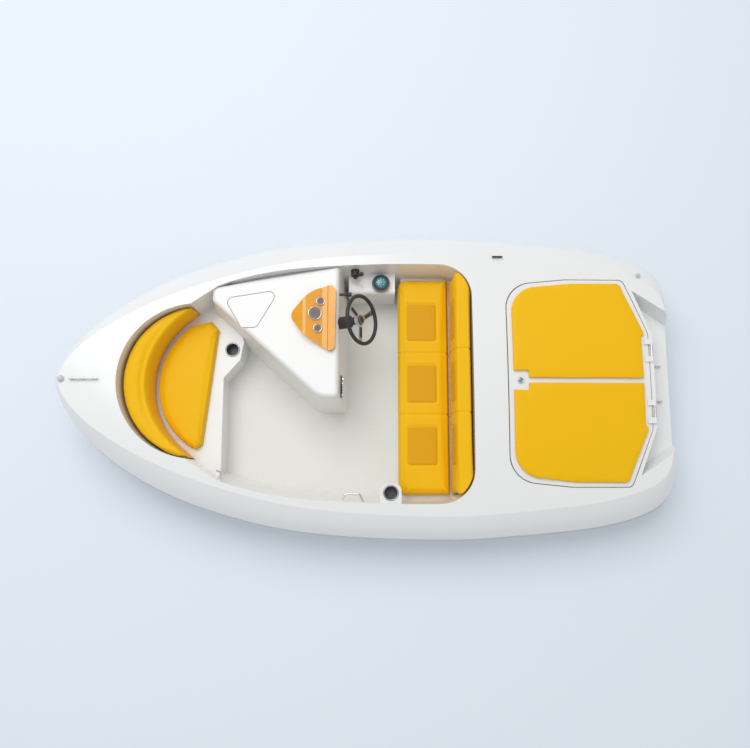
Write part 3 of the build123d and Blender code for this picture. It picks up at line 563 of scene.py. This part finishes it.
SEAT_MIDDLES = (-0.445, -0.005, 0.43)  # across the bench
SEAT_SPLITS = (-0.225, 0.212)
SEAT_PANEL_HALF = (0.105, 0.135)
SEAT_PANEL_BACK = 0.2  # panel's middle from the seat's aft edge
REST_PANEL_HALF = (0.075, 0.135)
REST_PANEL_DROP = 0.13  # panel's middle under the backrest's top
PANEL_CORNER = 0.02
PANEL_SKIN = 0.03  # a panel marks only the face it lies on
AWAY = 1.0  # distance given to points on other faces

BENCH_FILL = {"cap": 0.012, "slim": 0.008, "fill": 0.75}
BOW_FILL = {"cap": 0.010, "slim": 0.007, "fill": 0.8}
SUNPAD_FILL = {"cap": 0.005, "slim": 0.003, "fill": 0.9}


def seat_panel(y, low, high):
    """Distance from a seat's inset panel, for points of its top face."""
    centre = (low.x + SEAT_PANEL_BACK, y)

    def distance(p):
        if p.z <= high.z - PANEL_SKIN:
            return AWAY
        return rounded_box_distance(p.x, p.y, centre, SEAT_PANEL_HALF, PANEL_CORNER)

    return distance


def rest_panel(y, low, high):
    """Distance from a backrest's inset panel, for points of its front face."""
    centre = (high.z - REST_PANEL_DROP, y)

    def distance(p):
        if p.x <= low.x + PANEL_SKIN:
            return AWAY
        return rounded_box_distance(p.z, p.y, centre, REST_PANEL_HALF, PANEL_CORNER)

    return distance


def split_seam(y):
    return lambda p: abs(p.y - y)


def make_cushions():
    splits = [split_seam(y) for y in SEAT_SPLITS]
    seats = [seat_panel(y, *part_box("bench_cushion")) for y in SEAT_MIDDLES]
    make_cushion("bench_cushion", "boat", **BENCH_FILL, seams=seats + splits, panels=seats)
    rests = [rest_panel(y, *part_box("bench_backrest")) for y in SEAT_MIDDLES]
    make_cushion("bench_backrest", "boat", **BENCH_FILL, seams=rests + splits, panels=rests)
    for node in ("bow_cushion", "bow_backrest"):
        make_cushion(node, "boat", **BOW_FILL)
    for node in ("sunpad_port", "sunpad_starboard"):
        make_cushion(node, "engine_hatch_lid", **SUNPAD_FILL)


# ---------------------------------------------------------------- small pieces
UP = Vector((0, 0, 1))
SHARP_ANGLE = math.radians(35)


def add_finish(piece, name, body, material):
    """Names a finished piece, gives it its material and puts it on its body."""
    piece.name = name
    select_only(piece)
    bpy.ops.object.transform_apply(location=True, rotation=True, scale=True)
    piece.data.materials.clear()
    piece.data.materials.append(material)
    bpy.ops.object.shade_smooth_by_angle(angle=SHARP_ANGLE)
    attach(piece, body)
    return piece


def axis_turn(axis):
    """The turn that lays a piece's Z axis along this one."""
    return Vector(axis).to_track_quat("Z", "Y").to_euler()


def frame_turn(x_axis, y_axis, z_axis):
    """The turn that lays a piece's three axes along these."""
    return Matrix((x_axis, y_axis, z_axis)).transposed().to_euler()


def ring(place, axis, radius, thick, segments=64):
    bpy.ops.mesh.primitive_torus_add(
        location=place,
        rotation=axis_turn(axis),
        major_radius=radius,
        minor_radius=thick,
        major_segments=segments,
        minor_segments=12,
    )
    return bpy.context.object


def disc(place, axis, radius, depth, bevel, vertices=48):
    """A round plate with softened edges."""
    bpy.ops.mesh.primitive_cylinder_add(
        vertices=vertices, radius=radius, depth=depth, location=place, rotation=axis_turn(axis)
    )
    piece = bpy.context.object
    soften(piece, bevel)
    return piece


def soften(piece, width, segments=3):
    select_only(piece)
    edge = piece.modifiers.new("soften", "BEVEL")
    edge.width, edge.segments = width, segments
    bpy.ops.object.modifier_apply(modifier="soften")


def slab(place, size, turn=(0, 0, 0), bevel=0.001):
    """A small block with softened edges; turn is in radians."""
    bpy.ops.mesh.primitive_cube_add(size=1, location=place, rotation=turn)
    piece = bpy.context.object
    piece.scale = size
    select_only(piece)
    bpy.ops.object.transform_apply(location=False, rotation=False, scale=True)
    soften(piece, bevel)
    return piece


def join(pieces):
    bpy.ops.object.select_all(action="DESELECT")
    for piece in pieces:
        piece.select_set(True)
    bpy.context.view_layer.objects.active = pieces[0]
    if len(pieces) > 1:
        bpy.ops.object.join()
    return bpy.context.object


def node_islands(node):
    """Centre and half size of each separate solid of a CAD node."""
    mesh = nodes[node].data
    spots = {}
    welded = {}
    parent = list(range(len(mesh.vertices)))

    def root(index):
        while parent[index] != index:
            parent[index] = parent[parent[index]]
            index = parent[index]
        return index

    for vertex in mesh.vertices:
        key = tuple(round(part, 4) for part in vertex.co)
        parent[vertex.index] = welded.setdefault(key, vertex.index)
    for edge in mesh.edges:
        first, second = (root(index) for index in edge.vertices)
        parent[first] = second
    for vertex in mesh.vertices:
        spots.setdefault(root(vertex.index), []).append(vertex.co)
    boxes = []
    for points in spots.values():
        low = Vector(min(p[n] for p in points) for n in range(3))
        high = Vector(max(p[n] for p in points) for n in range(3))
        boxes.append(((low + high) / 2, (high - low) / 2))
    return boxes


GAUGE_FACE_RISE = 0.029
GAUGE_FACE_RUN = 0.108
CONSOLE_SLOPE = math.radians(5)
GAUGE_TILT = math.atan2(GAUGE_FACE_RISE, GAUGE_FACE_RUN) - CONSOLE_SLOPE  # leans aft
GAUGE_LIFT = 0.005  # the dial's face above its node's middle
GAUGE_BEZEL = 0.0032
MARK_STEP = math.radians(24)
MARK_WIDTH, MARK_HEIGHT = 0.0012, 0.0008
MARK_REACH, MARK_LENGTH = 0.72, 0.16  # shares of the dial's radius
NEEDLE_WIDTH, NEEDLE_HEIGHT = 0.002, 0.001
NEEDLE_REACH, NEEDLE_LENGTH, NEEDLE_HUB = 0.3, 0.75, 0.11  # shares of the dial's radius
NEEDLE_HUB_DEPTH = 0.003


def make_gauge_details():
    """Chrome bezels, white marks and red needles on the three dials."""
    axis = Vector((-math.sin(GAUGE_TILT), 0, math.cos(GAUGE_TILT)))
    along = Vector((math.cos(GAUGE_TILT), 0, math.sin(GAUGE_TILT)))
    across = Vector((0, 1, 0))
    bezels, marks, needles = [], [], []
    for centre, half in node_islands("gauges"):
        radius = half.y
        face = centre + axis * GAUGE_LIFT
        bezels.append(ring(face, axis, radius, GAUGE_BEZEL))
        for step in range(-5, 6):
            turn = MARK_STEP * step
            out = across * math.sin(turn) + along * math.cos(turn)
            size = (MARK_WIDTH, radius * MARK_LENGTH, MARK_HEIGHT)
            mark = slab(face + out * radius * MARK_REACH, size, bevel=0.0002)
            mark.rotation_euler = frame_turn(axis.cross(out), out, axis)
            marks.append(mark)
        out = (across * math.sin(0.6 - radius * 20) + along * 0.8).normalized()  # one reading each
        size = (NEEDLE_WIDTH, radius * NEEDLE_LENGTH, NEEDLE_HEIGHT)
        needle = slab(face + out * radius * NEEDLE_REACH, size, bevel=0.0003)
        needle.rotation_euler = frame_turn(axis.cross(out), out, axis)
        needles.append(needle)
        needles.append(disc(face, axis, radius * NEEDLE_HUB, NEEDLE_HUB_DEPTH, 0.0006, 24))
    add_finish(join(bezels), "gauge_bezels", "boat", CHROME)
    add_finish(join(marks), "gauge_marks", "boat", PAPER_WHITE)
    add_finish(join(needles), "gauge_needles", "boat", NEEDLE_RED)


HUB_CAP_RADIUS, HUB_CAP_DEPTH = 0.031, 0.012
HUB_CAP_DROP = 0.006  # from the wheel's plane
HUB_RING_RADIUS, HUB_RING_THICK, HUB_RING_LIFT = 0.0255, 0.0016, 0.005
SPOKE_DEGREES = (90, 210, 330)
SPOKE_PAD = (0.021, 0.07, 0.006)
SPOKE_PAD_REACH, SPOKE_PAD_DROP = 0.085, 0.0065
BOLT_REACHES = (0.044, 0.132)
BOLT_RADIUS, BOLT_DEPTH, BOLT_DROP = 0.0042, 0.004, 0.007


def make_wheel_details():
    """Hub cap, its trim ring, the spokes' pads and their bolts."""
    joint = joints["steering_wheel_turn"]
    centre, axis = Vector(joint["pos_m"]), Vector(joint["axis"]).normalized()
    up = axis.cross(Vector((0, 1, 0))).normalized() * -1
    side = axis.cross(up)
    hub = centre - axis * HUB_CAP_DROP
    pads = [disc(hub, axis, HUB_CAP_RADIUS, HUB_CAP_DEPTH, 0.004)]
    bolts = [ring(hub + axis * HUB_RING_LIFT, axis, HUB_RING_RADIUS, HUB_RING_THICK)]
    for degrees in SPOKE_DEGREES:
        turn = math.radians(degrees)
        out = up * math.cos(turn) + side * math.sin(turn)
        spot = centre + out * SPOKE_PAD_REACH - axis * SPOKE_PAD_DROP
        pad = slab(spot, SPOKE_PAD, bevel=0.0024)
        pad.rotation_euler = frame_turn(out.cross(axis), out, axis)
        pads.append(pad)
        for reach in BOLT_REACHES:
            spot = centre + out * reach - axis * BOLT_DROP
            bolts.append(disc(spot, axis, BOLT_RADIUS, BOLT_DEPTH, 0.001, 20))
    add_finish(join(pads), "wheel_pads", "steering_wheel", BLACK)
    add_finish(join(bolts), "wheel_bolts", "steering_wheel", CHROME)


COMPASS_BEZEL_RADIUS, COMPASS_BEZEL_THICK = 0.049, 0.0065
DOME_RADIUS, DOME_FLATNESS = 0.044, 0.36
CARD_MARKS = 8
CARD_MARK_LIFT = 0.0118
LONG_MARK = (0.021, (0.004, 0.017, 0.0016))  # its reach and its size
SHORT_MARK = (0.024, (0.004, 0.010, 0.0016))
LUBBER_PLACE, LUBBER_SIZE = Vector((0, 0.036, 0.009)), (0.005, 0.012, 0.003)


def make_compass_details():
    """Dark bezel, domed card, its white marks and the red lubber line."""
    low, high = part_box("compass")
    centre = Vector(((low.x + high.x) / 2, (low.y + high.y) / 2, high.z))
    bezel = ring(centre - UP * 0.001, UP, COMPASS_BEZEL_RADIUS, COMPASS_BEZEL_THICK)
    bpy.ops.mesh.primitive_uv_sphere_add(
        segments=48, ring_count=24, radius=DOME_RADIUS, location=centre - UP * 0.002
    )
    dome = bpy.context.object
    dome.scale.z = DOME_FLATNESS
    marks = []
    for step in range(CARD_MARKS):
        turn = math.radians(360 / CARD_MARKS * step)
        reach, size = SHORT_MARK if step % 2 else LONG_MARK
        out = Vector((math.cos(turn), math.sin(turn), 0))
        spot = centre + out * reach + UP * CARD_MARK_LIFT
        marks.append(slab(spot, size, (0, 0, turn - math.pi / 2), 0.0004))
    lubber = slab(centre + LUBBER_PLACE, LUBBER_SIZE, bevel=0.0008)
    add_finish(bezel, "compass_bezel", "boat", BLACK)
    add_finish(dome, "compass_dome", "boat", CARD_TEAL)
    add_finish(join(marks), "compass_marks", "boat", PAPER_WHITE)
    add_finish(lubber, "compass_lubber_line", "boat", NEEDLE_RED)


CUP_TRIM_INSET, CUP_TRIM_THICK = 0.005, 0.0016


def make_cup_trims():
    """A stainless trim ring on each cup holder."""
    trims = []
    for centre, half in node_islands("cup_holders"):
        top = Vector((centre.x, centre.y, centre.z + half.z))
        trims.append(ring(top, UP, half.x - CUP_TRIM_INSET, CUP_TRIM_THICK))
    add_finish(join(trims), "cup_trims", "boat", CHROME)


def make_panel_details():
    """Display, knob and buttons of the audio panel, as shares of its width and height."""
    low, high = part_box("audio_panel")
    face, out = low.x, Vector((-1, 0, 0))
    middle = Vector((face, (low.y + high.y) / 2, (low.z + high.z) / 2))
    wide, tall = high.y - low.y, high.z - low.z
    screen = slab(middle + Vector((0, 0.1 * wide, 0.1 * tall)), (0.004, wide * 0.45, tall * 0.4))
    knob = disc(middle + Vector((-0.005, -0.34 * wide, 0)), out, tall * 0.22, 0.014, 0.0015)
    buttons = [knob]
    for step in range(5):
        spot = middle + Vector((0, (0.36 - 0.13 * step) * wide, -0.3 * tall))
        buttons.append(slab(spot, (0.007, wide * 0.09, tall * 0.14), bevel=0.0008))
    add_finish(screen, "audio_screen", "boat", NAVY)
    add_finish(join(buttons), "audio_buttons", "boat", CHROME)


COLLAR_REACHES = (0.30, 0.42)  # shares of the kill switch's length
COLLAR_RADIUS, COLLAR_THICK = 0.0115, 0.0035


def make_switch_details():
    """Two maroon collars on the kill switch."""
    low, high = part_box("kill_switch")
    middle = Vector((0, (low.y + high.y) / 2, (low.z + high.z) / 2))
    along = Vector((1, 0, 0))
    collars = []
    for reach in COLLAR_REACHES:
        spot = middle + along * (low.x + (high.x - low.x) * reach)
        collars.append(ring(spot, along, COLLAR_RADIUS, COLLAR_THICK, 40))
    add_finish(join(collars), "kill_switch_collar", "boat", MAROON)


LATCH_INSERT_RADIUS, LATCH_INSERT_DEPTH = 0.0125, 0.002
LATCH_TRIM_RADIUS, LATCH_TRIM_THICK = 0.0155, 0.0014
KEY_SLOT, KEY_SLOT_TURN = (0.013, 0.003, 0.0012), 0.5


def make_latch_details():
    """Teal insert and slotted key plate of the hatch latch."""
    low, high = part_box("hatch_latch")
    top = Vector(((low.x + high.x) / 2, (low.y + high.y) / 2, high.z))
    plate = disc(top + UP * 0.0004, UP, LATCH_INSERT_RADIUS, LATCH_INSERT_DEPTH, 0.0006)
    trim = ring(top, UP, LATCH_TRIM_RADIUS, LATCH_TRIM_THICK)
    slot = slab(top + UP * 0.0016, KEY_SLOT, (0, 0, KEY_SLOT_TURN), 0.0003)
    add_finish(plate, "latch_insert", "engine_hatch_lid", CARD_TEAL)
    add_finish(join([trim, slot]), "latch_trim", "engine_hatch_lid", CHROME)


def make_details():
    make_panel_details()
    make_switch_details()
    make_latch_details()
    make_gauge_details()
    make_wheel_details()
    make_compass_details()
    make_cup_trims()


def make_floor():
    """Plain pale floor at the waterline."""
    bpy.ops.mesh.primitive_plane_add(size=FLOOR_SIZE)
    floor = bpy.context.object
    floor.name = "floor"
    material, *_ = start_material(
        "pale_floor",
        FLOOR_COLOUR,
        tuple(part * 0.985 for part in FLOOR_COLOUR),
        0.5,
        (0.8, 0.95),
        0.3,
        Specular_IOR_Level=0.1,
    )
    floor.data.materials.append(material)


bpy.ops.object.select_all(action="DESELECT")
make_camera()
make_light()
make_floor()
finish_nodes()
make_cushions()
make_details()
